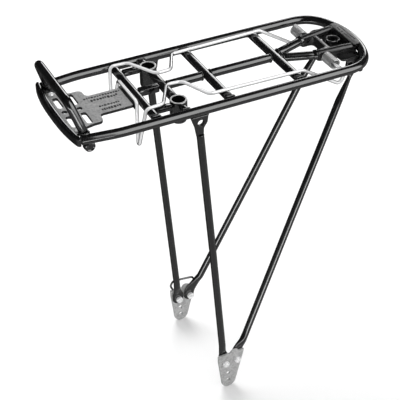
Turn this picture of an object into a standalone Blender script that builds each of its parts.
# Bicycle rear rack: tubular platform with front stop hoop, slotted seat-stay
# plate, sprung luggage clamp and four legs on two dropout plates.
#
# World frame, metres: +X to the rear of the bicycle, +Y to its right-hand
# (drive) side, +Z up.  The origin is on the ground plane under the middle of
# the bounding box; the dropout plates touch Z = 0.
#
# Every size below is in millimetres.  A point of the rack is (x, y, z) with x
# from the dropout plates' middle, y from the centre plane and z from the
# centre plane of the platform rails; at() turns it into world metres.

import math

import bmesh
import bpy
from mathutils import Matrix, Vector

# ---------------------------------------------------------------- dimensions
MM = 0.001                # metres in a millimetre
X_CENTRE = 8.75           # middle of the bounding box, from the dropouts
RAIL_HEIGHT = 406.8       # rail centre above the ground plane
GAP = 0.3                 # clearance between neighbouring pieces

RAIL_D = 10.0             # platform tube
RAIL_Y = 60.0             # half the rail spacing, centre to centre
REAR_X = 184.5            # rear bend, tube centre on the centre plane
REAR_BOW_R = 96.0         # radius of the rear bend's flat arc
SPINE_D = 9.5             # centre tube and fork tubes

BAR_BOTTOM, BAR_TOP = -2.0, 4.4           # cross bars
BAR_END_Y = RAIL_Y - RAIL_D / 2 - 0.4     # bar ends, just inside the rails

PIVOT = (137.0, 0.0)      # (x, z) of the spring clamp's hinge axis
CLAMP_WIRE_D = 3.8

BOLT_R = 2.5
BOLT_HOLE_R = 2.8
HEX_R = 8.0 / 2 / math.cos(math.pi / 6)   # corner radius, 8 mm across flats

DROPOUT_T = 3.0
DROPOUT_Y = 64.8          # inner face of a dropout plate
DROPOUT_MID_Y = DROPOUT_Y + DROPOUT_T / 2
FRONT_BOLT = (-2.8, -366.5)               # (x, z) of the leg feet's bolts
REAR_BOLT = (12.8, -365.5)
EYE = (168.2, -18.5)                      # (x, z) of the rear leg's upper bolt

SIDES = (("left", -1.0), ("right", 1.0))
SHARP_ANGLE = math.radians(40.0)          # edges above it are sharp or bevelled


# --------------------------------------------------------- scene, materials
for old in list(bpy.data.objects):
    bpy.data.objects.remove(old, do_unlink=True)

parts = bpy.data.collections.new("rear_rack")
cutters = bpy.data.collections.new("rear_rack_cutters")
bpy.context.scene.collection.children.link(parts)
bpy.context.scene.collection.children.link(cutters)


def material(name, colour, roughness, metallic):
    mat = bpy.data.materials.new(name)
    mat.use_nodes = True
    shader = mat.node_tree.nodes["Principled BSDF"]
    shader.inputs["Base Color"].default_value = (*colour, 1.0)
    shader.inputs["Roughness"].default_value = roughness
    shader.inputs["Metallic"].default_value = metallic
    return mat


BLACK = material("black_paint", colour=(0.012, 0.012, 0.013), roughness=0.28, metallic=0.0)
CHROME = material("chrome_wire", colour=(0.80, 0.80, 0.81), roughness=0.12, metallic=1.0)
GREY = material("grey_plate", colour=(0.40, 0.40, 0.41), roughness=0.45, metallic=0.6)
ZINC = material("zinc_fastener", colour=(0.60, 0.60, 0.60), roughness=0.35, metallic=1.0)
PLASTIC = material("black_plastic", colour=(0.015, 0.015, 0.016), roughness=0.45, metallic=0.0)


# --------------------------------------------------------- points, outlines
def at(x, y, z):
    """Layout point in world metres."""
    return Vector(((x - X_CENTRE) * MM, y * MM, (z + RAIL_HEIGHT) * MM))


def plan_at(z):
    """Matrix for an outline drawn in plan as (x, y), at height z."""
    return Matrix.Translation(at(0, 0, z))


def side_at(y):
    """Matrix for an outline drawn as (x, z), standing at y."""
    return Matrix.Translation(at(0, y, 0)) @ Matrix.Rotation(math.radians(90), 4, "X")


def across_at(x):
    """Matrix for an outline drawn as (y, z), standing across the rack at x."""
    return (Matrix.Translation(at(x, 0, 0)) @ Matrix.Rotation(math.radians(90), 4, "Z")
            @ Matrix.Rotation(math.radians(90), 4, "X"))


def both_ways(values):
    """Extend rising values that start at 0 to their negatives."""
    return [-value for value in reversed(values[1:])] + values


def rounded_path(stations, steps=4):
    """Polyline with arcs at its inner corners; stations are (x, y, z, radius)."""
    points = [Vector(station[:3]) for station in stations]
    radii = [station[3] for station in stations[1:]]
    path = [points[0]]
    for before, corner, after, radius in zip(points, points[1:], points[2:], radii):
        if radius <= 0:
            path.append(corner)
            continue
        back = (before - corner).normalized()
        ahead = (after - corner).normalized()
        half_angle = back.angle(ahead) / 2
        # The arc may take up at most about half of either neighbouring length.
        cut = min(radius / math.tan(half_angle), (before - corner).length * 0.49,
                  (after - corner).length * 0.49)
        arc_radius = cut * math.tan(half_angle)
        centre = corner + (back + ahead).normalized() * (arc_radius / math.sin(half_angle))
        start = corner + back * cut - centre
        end = corner + ahead * cut - centre
        turn = start.angle(end)
        for k in range(steps + 1):
            t = k / steps
            spoke = start * math.sin((1 - t) * turn) + end * math.sin(t * turn)
            path.append(centre + spoke / math.sin(turn))
    path.append(points[-1])
    return path


def rounded_outline(corners, steps=3):
    """Closed flat outline with rounded corners, given as (x, y, radius)."""
    stations = [(x, y, 0.0, radius) for x, y, radius in corners]
    outline = []
    for i, station in enumerate(stations):
        following = stations[(i + 1) % len(stations)]
        path = rounded_path([stations[i - 1], station, following], steps)
        outline += [(p.x, p.y) for p in path[1:-1]]
    return outline


def circle(x, y, radius, count=16):
    return [(x + radius * math.cos(2 * math.pi * k / count),
             y + radius * math.sin(2 * math.pi * k / count)) for k in range(count)]


def ring_y(x, z, y, radius, count):
    """Circle about an axis along Y."""
    return [(ring_x, y, ring_z_) for ring_x, ring_z_ in circle(x, z, radius, count)]


def ring_z(x, y, z, radius, count):
    """Circle about an axis along Z."""
    return [(ring_x, ring_y_, z) for ring_x, ring_y_ in circle(x, y, radius, count)]


def hex_ring_y(x, z, y):
    """Hexagon about an axis along Y: corners and middles of the flats."""
    half = math.pi / 6
    ring = []
    for k in range(12):
        angle = math.pi * k / 6
        radius = HEX_R * math.cos(half) / math.cos(angle % (2 * half) - half)
        ring.append((x + radius * math.cos(angle), y, z + radius * math.sin(angle)))
    return ring


# ----------------------------------------------------------- solid builders
def link(obj, mat, collection=parts):
    collection.objects.link(obj)
    if mat is not None:
        obj.data.materials.append(mat)
    return obj


def smooth(obj):
    obj.data.shade_smooth()
    obj.data.set_sharp_from_angle(angle=SHARP_ANGLE)


def add_bevel(obj, width, segments=2):
    bevel = obj.modifiers.new("edge", "BEVEL")
    bevel.width = width * MM
    bevel.segments = segments
    bevel.limit_method = "ANGLE"
    bevel.angle_limit = SHARP_ANGLE


def bmesh_object(name, bm, mat, collection=parts):
    """Object with outward normals from a bmesh, which is freed."""
    bmesh.ops.recalc_face_normals(bm, faces=bm.faces)
    mesh = bpy.data.meshes.new(name)
    bm.to_mesh(mesh)
    bm.free()
    return link(bpy.data.objects.new(name, mesh), mat, collection)


def tube(name, points, diameter, mat, resolution, origin=None):
    """Round tube or wire along a polyline; origin is a layout point."""
    data = bpy.data.curves.new(name, "CURVE")
    data.dimensions = "3D"
    data.bevel_depth = diameter / 2 * MM
    data.bevel_resolution = resolution
    data.use_fill_caps = True
    data.resolution_u = 1
    data.render_resolution_u = 0
    base = at(*origin) if origin else Vector((0.0, 0.0, 0.0))
    spline = data.splines.new("POLY")
    spline.points.add(len(points) - 1)
    for spline_point, point in zip(spline.points, points):
        spline_point.co = (*(at(*point) - base), 1.0)
    spline.use_smooth = True
    obj = bpy.data.objects.new(name, data)
    obj.location = base
    return link(obj, mat)


def flat(name, outline, thickness, matrix, mat, holes=()):
    """Welded plate from a flat outline with holes."""
    data = bpy.data.curves.new(name, "CURVE")
    data.dimensions = "2D"
    data.fill_mode = "BOTH"
    data.extrude = thickness / 2 * MM
    data.resolution_u = 1
    data.render_resolution_u = 0
    for loop in [outline, *holes]:
        spline = data.splines.new("POLY")
        spline.points.add(len(loop) - 1)
        for spline_point, (x, y) in zip(spline.points, loop):
            spline_point.co = (x * MM, y * MM, 0.0, 1.0)
        spline.use_cyclic_u = True
    filled = link(bpy.data.objects.new(name, data), None)
    bpy.context.view_layer.update()
    depsgraph = bpy.context.evaluated_depsgraph_get()
    mesh = bpy.data.meshes.new_from_object(filled.evaluated_get(depsgraph))
    bpy.data.objects.remove(filled, do_unlink=True)

    bm = bmesh.new()
    bm.from_mesh(mesh)
    bpy.data.meshes.remove(mesh)
    bmesh.ops.remove_doubles(bm, verts=bm.verts, dist=0.02 * MM)
    obj = bmesh_object(name, bm, mat)
    obj.matrix_world = matrix
    return obj


def slab(name, outline, thickness, matrix, mat, bevel=0.0, segments=2, collection=parts):
    """Solid plate from one flat outline, with rounded edges if bevel is set."""
    bm = bmesh.new()
    face = bm.faces.new([bm.verts.new((x * MM, y * MM, -thickness / 2 * MM))
                         for x, y in outline])
    grown = bmesh.ops.extrude_face_region(bm, geom=[face])
    top = [v for v in grown["geom"] if isinstance(v, bmesh.types.BMVert)]
    bmesh.ops.translate(bm, vec=(0, 0, thickness * MM), verts=top)
    obj = bmesh_object(name, bm, mat, collection)
    obj.matrix_world = matrix
    if bevel > 0:
        add_bevel(obj, bevel, segments)
    smooth(obj)
    return obj


def bar(name, x_span, y_span, z_span, bevel):
    """Black box over three spans with rounded edges; its origin is its centre."""
    low, high = (at(*corner) for corner in zip(sorted(x_span), sorted(y_span), sorted(z_span)))
    bpy.ops.mesh.primitive_cube_add(size=1.0, location=(low + high) / 2)
    obj = bpy.context.object
    obj.name = name
    obj.data.name = name
    for vertex in obj.data.vertices:
        vertex.co *= high - low
    for collection in list(obj.users_collection):
        collection.objects.unlink(obj)
    link(obj, BLACK)
    add_bevel(obj, bevel)
    smooth(obj)


def loft(name, rings, mat, closed=False, collection=parts):
    """Skin over rings of equal point count: capped, or closed ring to ring."""
    bm = bmesh.new()
    rows = [[bm.verts.new(at(*point)) for point in ring] for ring in rings]
    count = len(rows[0])
    pairs = list(zip(rows, rows[1:]))
    if closed:
        pairs.append((rows[-1], rows[0]))
    for row, following in pairs:
        for i in range(count):
            j = (i + 1) % count
            bm.faces.new((row[i], row[j], following[j], following[i]))
    if not closed:
        bm.faces.new(list(reversed(rows[0])))
        bm.faces.new(rows[-1])
    obj = bmesh_object(name, bm, mat, collection)
    smooth(obj)
    return obj


def turned(name, profile, steps, centre, mat):
    """Closed (radius, height) profile turned about the vertical through centre."""
    mesh = bpy.data.meshes.new(name)
    count = len(profile)
    mesh.from_pydata([(radius * MM, 0.0, z * MM) for radius, z in profile],
                     [(i, (i + 1) % count) for i in range(count)], [])
    obj = link(bpy.data.objects.new(name, mesh), mat)
    obj.location = at(*centre)
    screw = obj.modifiers.new("turn", "SCREW")
    screw.axis = "Z"
    screw.steps = steps
    screw.render_steps = steps
    screw.use_merge_vertices = True
    screw.merge_threshold = 0.00001
    screw.use_smooth_shade = True


# ----------------------------------------------------------------- booleans
def combine(obj, other, operation):
    """Boolean modifier on obj; the other object becomes a hidden helper."""
    other.hide_render = True
    other.display_type = "WIRE"
    modifier = obj.modifiers.new(operation.lower(), "BOOLEAN")
    modifier.operation = operation
    modifier.solver = "EXACT"
    modifier.object = other


def bore_y(obj, name, axis, y_span, radius, count=12):
    """Round hole along Y about axis (x, z)."""
    rings = [ring_y(*axis, y, radius, count) for y in y_span]
    combine(obj, loft(name, rings, None, collection=cutters), "DIFFERENCE")


def bore_z(obj, name, axis, z_span, radius, count):
    """Round hole along Z about axis (x, y)."""
    rings = [ring_z(*axis, z, radius, count) for z in z_span]
    combine(obj, loft(name, rings, None, collection=cutters), "DIFFERENCE")


# ------------------------------------------------------------ platform loop
# One bent tube: both rails and the rear bend.  The rear bend is a flat arc
# joined to each rail by a parabolic corner.
RAIL_FRONT = (-160.4, 55.0)       # (x, y) of the rail's front end
RAIL_TOE_IN_X = -121.0            # the rail turns inwards in front of this
RAIL_REAR_X = 143.0               # straight rail ends, corner starts
REAR_ARC_Y = 34.0                 # half width of the flat arc


def rear_arc_x(y):
    return REAR_X - (REAR_BOW_R - math.sqrt(REAR_BOW_R ** 2 - y * y))


def half_loop():
    """(x, y) points of the right half, from the front to near the centre."""
    rail = rounded_path([(*RAIL_FRONT, 0, 0), (RAIL_TOE_IN_X, RAIL_Y, 0, 150.0),
                         (RAIL_REAR_X, RAIL_Y, 0, 0)])
    half = [(p.x, p.y) for p in rail]
    arc_x = rear_arc_x(REAR_ARC_Y)
    slope = REAR_ARC_Y / math.sqrt(REAR_BOW_R ** 2 - REAR_ARC_Y ** 2)
    control_x = arc_x - slope * (RAIL_Y - REAR_ARC_Y)
    for k in range(1, 8):
        t = k / 7
        start, control, end = (1 - t) ** 2, 2 * t * (1 - t), t * t
        half.append((start * RAIL_REAR_X + control * control_x + end * arc_x,
                     (start + control) * RAIL_Y + end * REAR_ARC_Y))
    for k in (1, 2, 3):
        y = REAR_ARC_Y * (1 - k / 4)
        half.append((rear_arc_x(y), y))
    return half


right_loop = half_loop()
tube("platform_loop",
     [(x, -y, 0.0) for x, y in right_loop] + [(REAR_X, 0.0, 0.0)]
     + [(x, y, 0.0) for x, y in reversed(right_loop)],
     RAIL_D, BLACK, resolution=4)


# ---------------------------------------------------------------- front bow
# Flat bar on edge, curved forward, thinner towards the rail ends.
BOW_FRONT_X = -172.2
BOW_SHAPE_Y = 61.0        # half width over which the curve and taper develop
BOW_END_Y = 59.8


def bow_outer(y):
    return BOW_FRONT_X + 7.0 * abs(y / BOW_SHAPE_Y) ** 2.6


def bow_inner(y):
    return bow_outer(y) + 8.0 - 3.7 * abs(y / BOW_SHAPE_Y) ** 3


bow_ys = both_ways([BOW_END_Y * math.sin(math.radians(90) * k / 7) for k in range(8)])
slab("front_bow",
     [(bow_outer(y), y) for y in bow_ys] + [(bow_inner(y), y) for y in reversed(bow_ys)],
     10.0, plan_at(0), BLACK, bevel=1.6)

# ---------------------------------------------------------------- stop hoop
# Bent tube that leans forward over the front of the platform.
HOOP_LEAN = math.atan2(12.3, 37.7)
HOOP_BASE = (-156.0, 6.3)         # (x, z) from which the lean is measured
HOOP_D = 9.4
# (y, height along the lean, corner radius)
HOOP_PATH = [(-49.6, 1.2, 0.0), (-41.4, 33.0, 9.0), (41.4, 33.0, 9.0), (49.6, 1.2, 0.0)]

tube("stop_hoop",
     rounded_path([(HOOP_BASE[0] - math.sin(HOOP_LEAN) * height, y,
                    HOOP_BASE[1] + math.cos(HOOP_LEAN) * height, radius)
                   for y, height, radius in HOOP_PATH], steps=5),
     HOOP_D, BLACK, resolution=3)

# ---------------------------------------------------------- seat-stay plate
# T-shaped plate behind the bow with two rows of slot, hole, slot.
PLATE_T = 3.7
PLATE_TOP = -0.5
PLATE_BOW_GAP = 0.4
RIVET_X, RIVET_Y = -156.9, 37.3
SLOT_ROWS_X = (-156.5, -140.2)
EAR_Y = 42.0                      # outer edge of the plate's ears

# Right-hand edge from the bow to the rear middle: (x, y, z, corner radius)
PLATE_EDGE = [
    (bow_inner(EAR_Y) + PLATE_BOW_GAP, EAR_Y, 0, 0), (-154.0, EAR_Y, 0, 4.0),
    (-147.5, 34.0, 0, 8.0), (-137.0, 31.8, 0, 6.0), (-126.2, 31.8, 0, 8.0),
    (-126.2, 18.4, 0, 5.0), (-88.7, 18.4, 0, 1.5), (-88.7, 0.0, 0, 0),
]


def slot(x, y_low, y_high, width=6.0, steps=6):
    """Slot along Y with round ends."""
    radius = width / 2
    outline = []
    for y, start in ((y_high - radius, 0.0), (y_low + radius, math.pi)):
        for k in range(steps + 1):
            angle = start + math.pi * k / steps
            outline.append((x + radius * math.cos(angle), y + radius * math.sin(angle)))
    return outline


plate_half = [(bow_inner(y) + PLATE_BOW_GAP, y) for y in (0.0, 12.0, 24.0, 34.0)]
plate_half += [(p.x, p.y) for p in rounded_path(PLATE_EDGE)[:-1]]
plate_holes = []
for row_x in SLOT_ROWS_X:
    plate_holes += [slot(row_x, 8.2, 30.0), slot(row_x, -30.0, -8.2), circle(row_x, 0.0, 2.9)]
for _, sign in SIDES:
    plate_holes.append(circle(RIVET_X, sign * RIVET_Y, 2.0, 12))
flat("seat_stay_plate", plate_half + [(x, -y) for x, y in reversed(plate_half[1:])],
     PLATE_T, plan_at(PLATE_TOP - PLATE_T / 2), GREY, plate_holes)

# Rivets in the plate's ears: dome head on top, shank inside the plate.
# (radius, height above the plate)
RIVET_PROFILE = [(0.0, 2.2), (1.6, 2.0), (2.7, 1.3), (3.2, GAP), (1.7, GAP),
                 (1.7, GAP - PLATE_T), (0.0, GAP - PLATE_T)]
for side, sign in SIDES:
    turned("plate_rivet_" + side, RIVET_PROFILE, 12, (RIVET_X, sign * RIVET_Y, PLATE_TOP), ZINC)

bar("plate_clip", (-88.3, -84.5), (-20.7, 20.7), (-5.8, 0.4), bevel=0.8)

# --------------------------------------------------------------- cross bars
CROSSBAR_X = {"front": (-84.1, -75.0), "middle": (-1.6, 8.6), "rear": (81.2, 92.2)}
for place, x_span in CROSSBAR_X.items():
    bar(place + "_crossbar", x_span, (-BAR_END_Y, BAR_END_Y), (BAR_BOTTOM, BAR_TOP), bevel=1.8)

# ----------------------------------------------------- front basket sockets
# Two cups on a strap in three lengths, each braced to the front cross bar.
SOCKET_X, SOCKET_Y = -46.7, 37.2
SOCKET_R = 9.2
SOCKET_BORE_R = 6.9
SOCKET_GAP = 0.4
STRAP_BOTTOM, STRAP_TOP = -3.6, 3.8
STRAP_HALF_W = 5.0                # centre length
STRAP_END_HALF_W = 4.2            # outer lengths
BEHIND_FRONT_BAR = CROSSBAR_X["front"][1] + GAP

# (radius, height); the bore narrows to a lip at the bottom
SOCKET_PROFILE = [
    (SOCKET_R - 0.8, 4.8), (SOCKET_R, 4.0), (SOCKET_R, -16.5), (SOCKET_R - 2.2, -21.0),
    (SOCKET_BORE_R - 2.6, -21.0), (SOCKET_BORE_R - 2.6, -17.0),
    (SOCKET_BORE_R, -17.0), (SOCKET_BORE_R, 4.8),
]

strap_end_y = SOCKET_Y - SOCKET_R - SOCKET_GAP
bar("socket_strap_centre", (SOCKET_X - STRAP_HALF_W, SOCKET_X + STRAP_HALF_W),
    (-strap_end_y, strap_end_y), (STRAP_BOTTOM, STRAP_TOP), bevel=1.4)
for side, sign in SIDES:
    bar("socket_strap_" + side, (SOCKET_X - STRAP_END_HALF_W, SOCKET_X + STRAP_END_HALF_W),
        (sign * (SOCKET_Y + SOCKET_R + SOCKET_GAP), sign * BAR_END_Y),
        (STRAP_BOTTOM, STRAP_TOP), bevel=1.2)
    bar("socket_brace_" + side, (BEHIND_FRONT_BAR, SOCKET_X - SOCKET_R - SOCKET_GAP),
        (sign * 36.4, sign * 44.6), (BAR_BOTTOM, STRAP_TOP), bevel=1.4)
    turned("basket_socket_" + side, SOCKET_PROFILE, 20, (SOCKET_X, sign * SOCKET_Y, 0.0), BLACK)

# ----------------------------------------------------------- spine and fork
# Centre member in three lengths between the cross bars, then two fork tubes.
bar("spine_front", (BEHIND_FRONT_BAR, SOCKET_X - STRAP_HALF_W - GAP),
    (-4.0, 4.0), (-4.0, 4.0), bevel=1.2)
tube("spine_middle", [(SOCKET_X + STRAP_HALF_W + GAP, 0, 0),
                      (CROSSBAR_X["middle"][0] - GAP, 0, 0)], SPINE_D, BLACK, 4)
tube("spine_rear", [(CROSSBAR_X["middle"][1] + GAP, 0, 0),
                    (CROSSBAR_X["rear"][0] - GAP, 0, 0)], SPINE_D, BLACK, 4)
for side, sign in SIDES:
    tube("fork_tube_" + side, [(94.3, sign * 5.25, 0), (128.1, sign * 16.43, 0)],
         SPINE_D, BLACK, 4)

# ------------------------------------------------------------- rear bracket
# Moulded block between the fork tubes and the rear bend.  Two arms in front
# hold the bores in which the clamp's pivots turn, a third basket socket
# stands in the middle of an open pocket.
BRACKET_T = 10.4
BRACKET_TOP = 3.9
POCKET_FLOOR = -2.0
POCKET_DEPTH = 10.0               # cutter height, past the bracket's top
REAR_SOCKET = (160.4, 0.0)        # (x, y)
SCREW_X, SCREW_Y = 150.6, 9.5

# (x, y, corner radius)
BRACKET_OUTLINE = [
    (130.2, -20.6, 3), (171.0, -26.0, 3), (176.2, -26.0, 2), (176.2, 26.0, 2),
    (171.0, 26.0, 3), (130.2, 20.6, 3), (130.2, 13.2, 2), (143.4, 13.2, 4),
    (143.4, -13.2, 4), (130.2, -13.2, 2),
]
POCKET_OUTLINE = [(147.4, -15.5, 3), (170.6, -19.0, 3), (170.6, 19.0, 3), (147.4, 15.5, 3)]
# (radius, height above the pocket floor)
SCREW_PROFILE = [(0.0, 2.2), (1.8, 2.0), (2.6, 1.2), (2.8, GAP), (1.6, GAP),
                 (1.6, -4.2), (0.0, -4.2)]

bracket = slab("rear_bracket", rounded_outline(BRACKET_OUTLINE), BRACKET_T,
               plan_at(BRACKET_TOP - BRACKET_T / 2), PLASTIC)
pocket = slab("rear_pocket", rounded_outline(POCKET_OUTLINE), POCKET_DEPTH,
              plan_at(POCKET_FLOOR + POCKET_DEPTH / 2), None, collection=cutters)
combine(bracket, pocket, "DIFFERENCE")
boss = loft("rear_socket_boss", [ring_z(*REAR_SOCKET, z, 8.2, 20) for z in (-14.0, BRACKET_TOP)],
            None, collection=cutters)
combine(bracket, boss, "UNION")
bore_z(bracket, "rear_socket_bore", REAR_SOCKET, (-11.5, 8.0), 6.2, 20)
for side, sign in SIDES:
    bore_y(bracket, "pivot_bore_" + side, PIVOT, (sign * 12.0, sign * 24.0),
           CLAMP_WIRE_D / 2 + 0.4, 16)
    bore_z(bracket, "screw_bore_" + side, (SCREW_X, sign * SCREW_Y), (-9.0, 8.0), 1.9, 12)
    turned("bracket_screw_" + side, SCREW_PROFILE, 12,
           (SCREW_X, sign * SCREW_Y, POCKET_FLOOR), ZINC)

# --------------------------------------------------------------- rear plate
# Thin strip on top of the rear bend; its rear edge follows the bend.
STRIP_FRONT_X = 171.9
STRIP_HALF_W = 25.0
strip_ys = both_ways([STRIP_HALF_W * k / 5 for k in range(6)])
slab("rear_plate",
     [(rear_arc_x(y) - 1.0, y) for y in strip_ys]
     + [(STRIP_FRONT_X, STRIP_HALF_W), (STRIP_FRONT_X, -STRIP_HALF_W)],
     1.6, plan_at(6.1), GREY, bevel=0.4, segments=1)

# ------------------------------------------------------------- spring clamp
# One length of sprung wire.  Each arm starts in a bore of the rear bracket,
# runs out through its torsion spring, hooks under and rises to lie on the
# cross bars, jogs in around the basket sockets and drops in a V in front of
# the front cross bar; a cross wire joins the two sides.
PIVOT_X, PIVOT_Z = PIVOT
PIVOT_CENTRE = (PIVOT_X, 0.0, PIVOT_Z)
# Right arm to the middle of the cross wire: (x, y, z, corner radius)
CLAMP_ARM = [
    (PIVOT_X, 15.5, PIVOT_Z, 0), (PIVOT_X, 47.3, PIVOT_Z, 3.2),
    (147.5, 47.3, -9.0, 5.0), (143.0, 47.3, -24.0, 5.0),
    (94.3, 47.8, 6.8, 12.0), (-15.0, 45.2, 6.8, 7.0),
    (-31.2, 13.2, 8.8, 9.0), (-48.6, 12.2, 9.2, 9.0),
    (-67.0, 44.8, 9.6, 8.0), (-86.6, 46.2, 9.4, 5.0),
    (-92.0, 34.6, -46.6, 2.3), (-87.0, 23.6, 5.2, 4.0), (-86.8, 0.0, 5.2, 0),
]
right_arm = rounded_path(CLAMP_ARM)[:-1]
left_arm = [(x, -y, z) for x, y, z in right_arm]
tube("spring_clamp", right_arm + left_arm[::-1], CLAMP_WIRE_D, CHROME, 2, origin=PIVOT_CENTRE)

# Torsion springs round the clamp's pivots, mirrored side to side.
SPRING_WIRE_D = 2.2
SPRING_MEAN_R = 5.0
SPRING_START_Y = 23.6
SPRING_LENGTH = 19.8
SPRING_TURNS = SPRING_LENGTH / (SPRING_WIRE_D + 0.35)
SPRING_STEPS = int(SPRING_TURNS * 10)

for side, sign in SIDES:
    coil = []
    for k in range(SPRING_STEPS + 1):
        angle = 2 * math.pi * SPRING_TURNS * k / SPRING_STEPS + math.radians(200)
        coil.append((PIVOT_X + SPRING_MEAN_R * math.cos(angle),
                     sign * (SPRING_START_Y + SPRING_LENGTH * k / SPRING_STEPS),
                     PIVOT_Z + SPRING_MEAN_R * math.sin(angle)))
    tube("torsion_spring_" + side, coil, SPRING_WIRE_D, CHROME, 1, origin=PIVOT_CENTRE)

# --------------------------------------------------------------------- legs
LEG_R = 4.1
FLAT_HALF_T = 1.5                 # flattened ends
FLAT_HALF_W = 7.3                 # front foot
REAR_FLAT_HALF_W = FLAT_HALF_W - 0.4
EYE_HALF_W = 5.2                  # rear leg's upper end
FOOT_Y = DROPOUT_Y - GAP - FLAT_HALF_T    # feet lie inside the dropout plates
EYE_Y = 31.6


def round_end(x, y, z, direction, half_width):
    """Stations of a rounded flat end from full width to tip; direction is (x, z)."""
    return [(x + direction[0] * half_width * f, y, z + direction[1] * half_width * f,
             half_width * math.sqrt(1 - f * f), FLAT_HALF_T) for f in (0.0, 0.45, 0.75, 0.93)]


# Right-hand legs from top to foot: (x, y, z, half width, half thickness)
FRONT_LEG = [
    (-34.1, 61.7, -28.9, LEG_R, LEG_R),
    (-19.0, 62.5, -188.0, LEG_R, LEG_R),
    (-5.4, 62.5, -336.0, LEG_R, LEG_R),
    (-4.9, 62.2, -343.0, 4.6, 3.2),
    (-4.3, 62.3, -349.0, 6.0, 2.1),
    (-3.7, FOOT_Y, -356.0, FLAT_HALF_W - 0.1, FLAT_HALF_T),
    *round_end(-3.5, FOOT_Y, FRONT_BOLT[1], (0.0, -1.0), FLAT_HALF_W),
]
REAR_LEG = [
    *reversed(round_end(EYE[0], EYE_Y, EYE[1], (0.35, 0.94), EYE_HALF_W)),
    (166.4, 31.8, -24.5, 4.2, FLAT_HALF_T),
    (164.2, 32.5, -29.5, 2.5, 2.4),
    (160.2, 33.5, -37.0, 3.0, 3.0),
    (155.8, 34.6, -45.0, 3.6, 3.6),
    (151.4, 35.6, -53.5, LEG_R, LEG_R),
    (88.5, 47.6, -197.0, LEG_R, LEG_R),
    (27.0, 60.4, -337.0, LEG_R, LEG_R),
    (22.4, 62.0, -344.0, 4.8, 3.2),
    (17.6, 62.3, -350.5, 6.0, 2.0),
    (13.6, FOOT_Y, -357.5, REAR_FLAT_HALF_W, FLAT_HALF_T),
    *round_end(11.7, FOOT_Y, REAR_BOLT[1], (0.0, -1.0), REAR_FLAT_HALF_W),
]


def leg(name, stations, sign, count=12):
    """Tube with flattened ends: width lies fore and aft, thickness across.

    A flattened section is squarer than an ellipse."""
    points = [Vector((x, sign * y, z)) for x, y, z, _, _ in stations]
    rings = []
    for i, (_, _, _, half_width, half_thickness) in enumerate(stations):
        along = (points[min(i + 1, len(points) - 1)] - points[max(i - 1, 0)]).normalized()
        wide = along.cross(Vector((0, 1, 0))).normalized()
        thick = wide.cross(along).normalized()
        exponent = 1.0 - 0.45 * (1.0 - half_thickness / half_width)
        ring = []
        for k in range(count):
            angle = 2 * math.pi * k / count
            cosine, sine = math.cos(angle), math.sin(angle)
            ring.append(points[i]
                        + wide * math.copysign(abs(cosine) ** exponent, cosine) * half_width
                        + thick * math.copysign(abs(sine) ** exponent, sine) * half_thickness)
        rings.append(ring)
    return loft(name, rings, BLACK)


for side, sign in SIDES:
    foot_span = (sign * 55.0, sign * 70.0)
    front_leg = leg("front_leg_" + side, FRONT_LEG, sign)
    bore_y(front_leg, "front_foot_bore_" + side, FRONT_BOLT, foot_span, BOLT_HOLE_R)
    rear_leg = leg("rear_leg_" + side, REAR_LEG, sign)
    bore_y(rear_leg, "rear_foot_bore_" + side, REAR_BOLT, foot_span, BOLT_HOLE_R)
    bore_y(rear_leg, "rear_eye_bore_" + side, EYE, (sign * 25.0, sign * 40.0), BOLT_HOLE_R)

# --------------------------------------------------------- gussets and tabs
# Gusset: flared plate with an eyelet between the rail and the front leg.
# (x, z, corner radius)
GUSSET_OUTLINE = [
    (-44.6, -5.4, 0), (-25.0, -5.4, 0), (-26.2, -14.0, 5), (-30.2, -19.6, 6),
    (-30.4, -28.0, 0), (-37.9, -28.0, 0), (-39.6, -19.0, 14),
]
# Leg tab: ear in front of the reflector plate that the rear leg is bolted to.
# (x, z, corner radius)
TAB_OUTLINE = [
    (176.2, -5.6, 0), (176.2, -24.0, 2), (172.0, -26.0, 3), (161.8, -26.0, 6),
    (161.6, -12.0, 5), (164.5, -5.6, 3),
]
for side, sign in SIDES:
    flat("leg_gusset_" + side, rounded_outline(GUSSET_OUTLINE), 4.6, side_at(sign * 60.6),
         BLACK, [circle(-33.6, -13.2, 3.7)])
    flat("leg_tab_" + side, rounded_outline(TAB_OUTLINE), 3.0, side_at(sign * 28.3),
         BLACK, [circle(*EYE, BOLT_HOLE_R, 12)])

# ---------------------------------------------------------- reflector plate
# Upright plate under the rear bend with two fixing holes.
REFLECTOR_HOLE_PITCH = 50.0
# (y, z, corner radius)
REFLECTOR_OUTLINE = [(-37.5, -5.4, 0), (-37.0, -25.6, 6), (37.0, -25.6, 6), (37.5, -5.4, 0)]
flat("reflector_plate", rounded_outline(REFLECTOR_OUTLINE), 2.0, across_at(177.6), BLACK,
     [circle(sign * REFLECTOR_HOLE_PITCH / 2, -17.5, 2.7, 12) for _, sign in SIDES])

# ----------------------------------------------------------- dropout plates
# Rounded tongue with two eyelet holes; a coined seat surrounds the lower one
# on the inner face.
UPPER_EYELET = (0.9, -384.6)      # (x, z)
EYELET = (1.2, -395.8)            # (x, z)
TONGUE_END = (2.0, -397.3)        # (x, z) centre of the round lower end
TONGUE_END_R = 9.5
SHOULDER_Z = -352.8               # foot of the domed top


def dropout_rim():
    """(x, z) outline: rear edge, round lower end, front edge, domed top."""
    rim = [(22.0, SHOULDER_Z), (20.8, -358.5), (17.3, -373.4)]
    for k in range(13):
        angle = math.radians(-12 - 161 * k / 12)
        rim.append((TONGUE_END[0] + TONGUE_END_R * math.cos(angle),
                    TONGUE_END[1] + TONGUE_END_R * math.sin(angle)))
    rim += [(-9.1, -385.6), (-12.4, -362.0), (-12.6, SHOULDER_Z)]
    for k in range(7):
        angle = math.radians(180 - 180 * k / 6)
        rim.append((9.4 + 5.2 * math.cos(angle), SHOULDER_Z + 3.6 * math.sin(angle)))
    return rim


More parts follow.
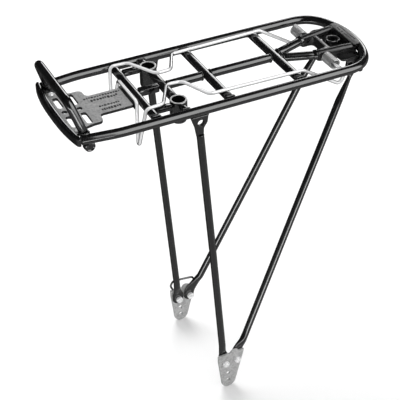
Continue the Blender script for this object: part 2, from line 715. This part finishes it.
for side, sign in SIDES:
    dropout = flat("dropout_plate_" + side, dropout_rim(), DROPOUT_T,
                   side_at(sign * DROPOUT_MID_Y), GREY,
                   [circle(*FRONT_BOLT, BOLT_HOLE_R, 12), circle(*REAR_BOLT, BOLT_HOLE_R, 12),
                    circle(*UPPER_EYELET, 2.6, 12)])
    seat = loft("eyelet_seat_" + side,
                [ring_y(*EYELET, sign * y, 7.0, 20) for y in (DROPOUT_Y - 0.5, DROPOUT_MID_Y)],
                None, collection=cutters)
    combine(dropout, seat, "UNION")
    bore_y(dropout, "eyelet_bore_" + side, EYELET, (sign * 60.0, sign * 72.0), 2.75, 16)
    smooth(dropout)

# Thin wire loop over the right-hand plate, a guide for the light's cable.
# (x, y, z, corner radius)
CABLE_LOOP = [
    (-9.0, DROPOUT_MID_Y, -351.8, 0), (-12.0, 67.9, -346.0, 5), (-7.8, 68.2, -339.6, 4),
    (3.0, 68.2, -340.4, 40), (19.0, 68.2, -342.4, 4), (22.2, 67.9, -347.5, 8),
    (20.4, DROPOUT_MID_Y, -351.8, 0),
]
tube("cable_loop", rounded_path(CABLE_LOOP, steps=3), 2.6, BLACK, 2)


# ------------------------------------------------------------ bolts and nuts
def hex_bolt(name, axis, seat, tip, head_height, sign):
    """Bolt along Y about axis (x, z): seat and tip are distances from the centre plane."""
    outward = 1.0 if tip > seat else -1.0
    loft(name, [
        ring_y(*axis, sign * (seat - outward * head_height), HEX_R * 0.86, 12),
        hex_ring_y(*axis, sign * (seat - outward * (head_height - 0.6))),
        hex_ring_y(*axis, sign * seat),
        ring_y(*axis, sign * seat, BOLT_R, 12),
        ring_y(*axis, sign * (tip - outward * 0.6), BOLT_R, 12),
        ring_y(*axis, sign * tip, BOLT_R * 0.76, 12),
    ], ZINC)


def hex_nut(name, axis, y_inner, y_outer, sign):
    loft(name, [
        hex_ring_y(*axis, sign * y_inner),
        hex_ring_y(*axis, sign * y_outer),
        ring_y(*axis, sign * y_outer, BOLT_HOLE_R, 12),
        ring_y(*axis, sign * y_inner, BOLT_HOLE_R, 12),
    ], ZINC, closed=True)


DROPOUT_OUTER_Y = DROPOUT_Y + DROPOUT_T
for side, sign in SIDES:
    for place, axis in (("front", FRONT_BOLT), ("rear", REAR_BOLT)):
        hex_bolt(place + "_foot_bolt_" + side, axis, FOOT_Y - FLAT_HALF_T - GAP,
                 DROPOUT_OUTER_Y + 3.2, 3.4, sign)
        hex_nut(place + "_foot_nut_" + side, axis, DROPOUT_OUTER_Y + GAP,
                DROPOUT_OUTER_Y + 2.7, sign)
    hex_bolt("rear_eye_bolt_" + side, EYE, EYE_Y + FLAT_HALF_T + GAP, 22.4, 3.8, sign)
    hex_nut("rear_eye_nut_" + side, EYE, 23.0, 26.5, sign)

# --------------------------------------------------------------- stay bolts
# Round-headed bolts in lugs under the front ends of the rails.
STAY_X, STAY_Z = STAY_BOLT = (-151.5, -10.8)
LUG_HALF_W = 5.9
LUG_TOP = -5.5
# (x, z, corner radius)
LUG_OUTLINE = [
    (STAY_X - LUG_HALF_W, LUG_TOP, 0), (STAY_X + LUG_HALF_W, LUG_TOP, 0),
    (STAY_X + LUG_HALF_W, STAY_Z - LUG_HALF_W, 5.5),
    (STAY_X - LUG_HALF_W, STAY_Z - LUG_HALF_W, 5.5),
]
# (y, radius) from the recess in the head to the tip
STAY_BOLT_RINGS = [
    (56.2, 1.6), (55.0, 2.0), (55.0, 3.0), (55.8, 3.8), (55.4, 5.5), (52.0, 5.8),
    (52.0, BOLT_R), (43.6, BOLT_R), (43.0, BOLT_R * 0.76),
]
for side, sign in SIDES:
    flat("stay_lug_" + side, rounded_outline(LUG_OUTLINE, steps=4), 3.0,
         side_at(sign * 50.2), BLACK, [circle(*STAY_BOLT, BOLT_HOLE_R, 12)])
    loft("stay_bolt_" + side,
         [ring_y(*STAY_BOLT, sign * y, radius, 12) for y, radius in STAY_BOLT_RINGS], BLACK)
    hex_nut("stay_nut_" + side, STAY_BOLT, 44.6, 48.4, sign)
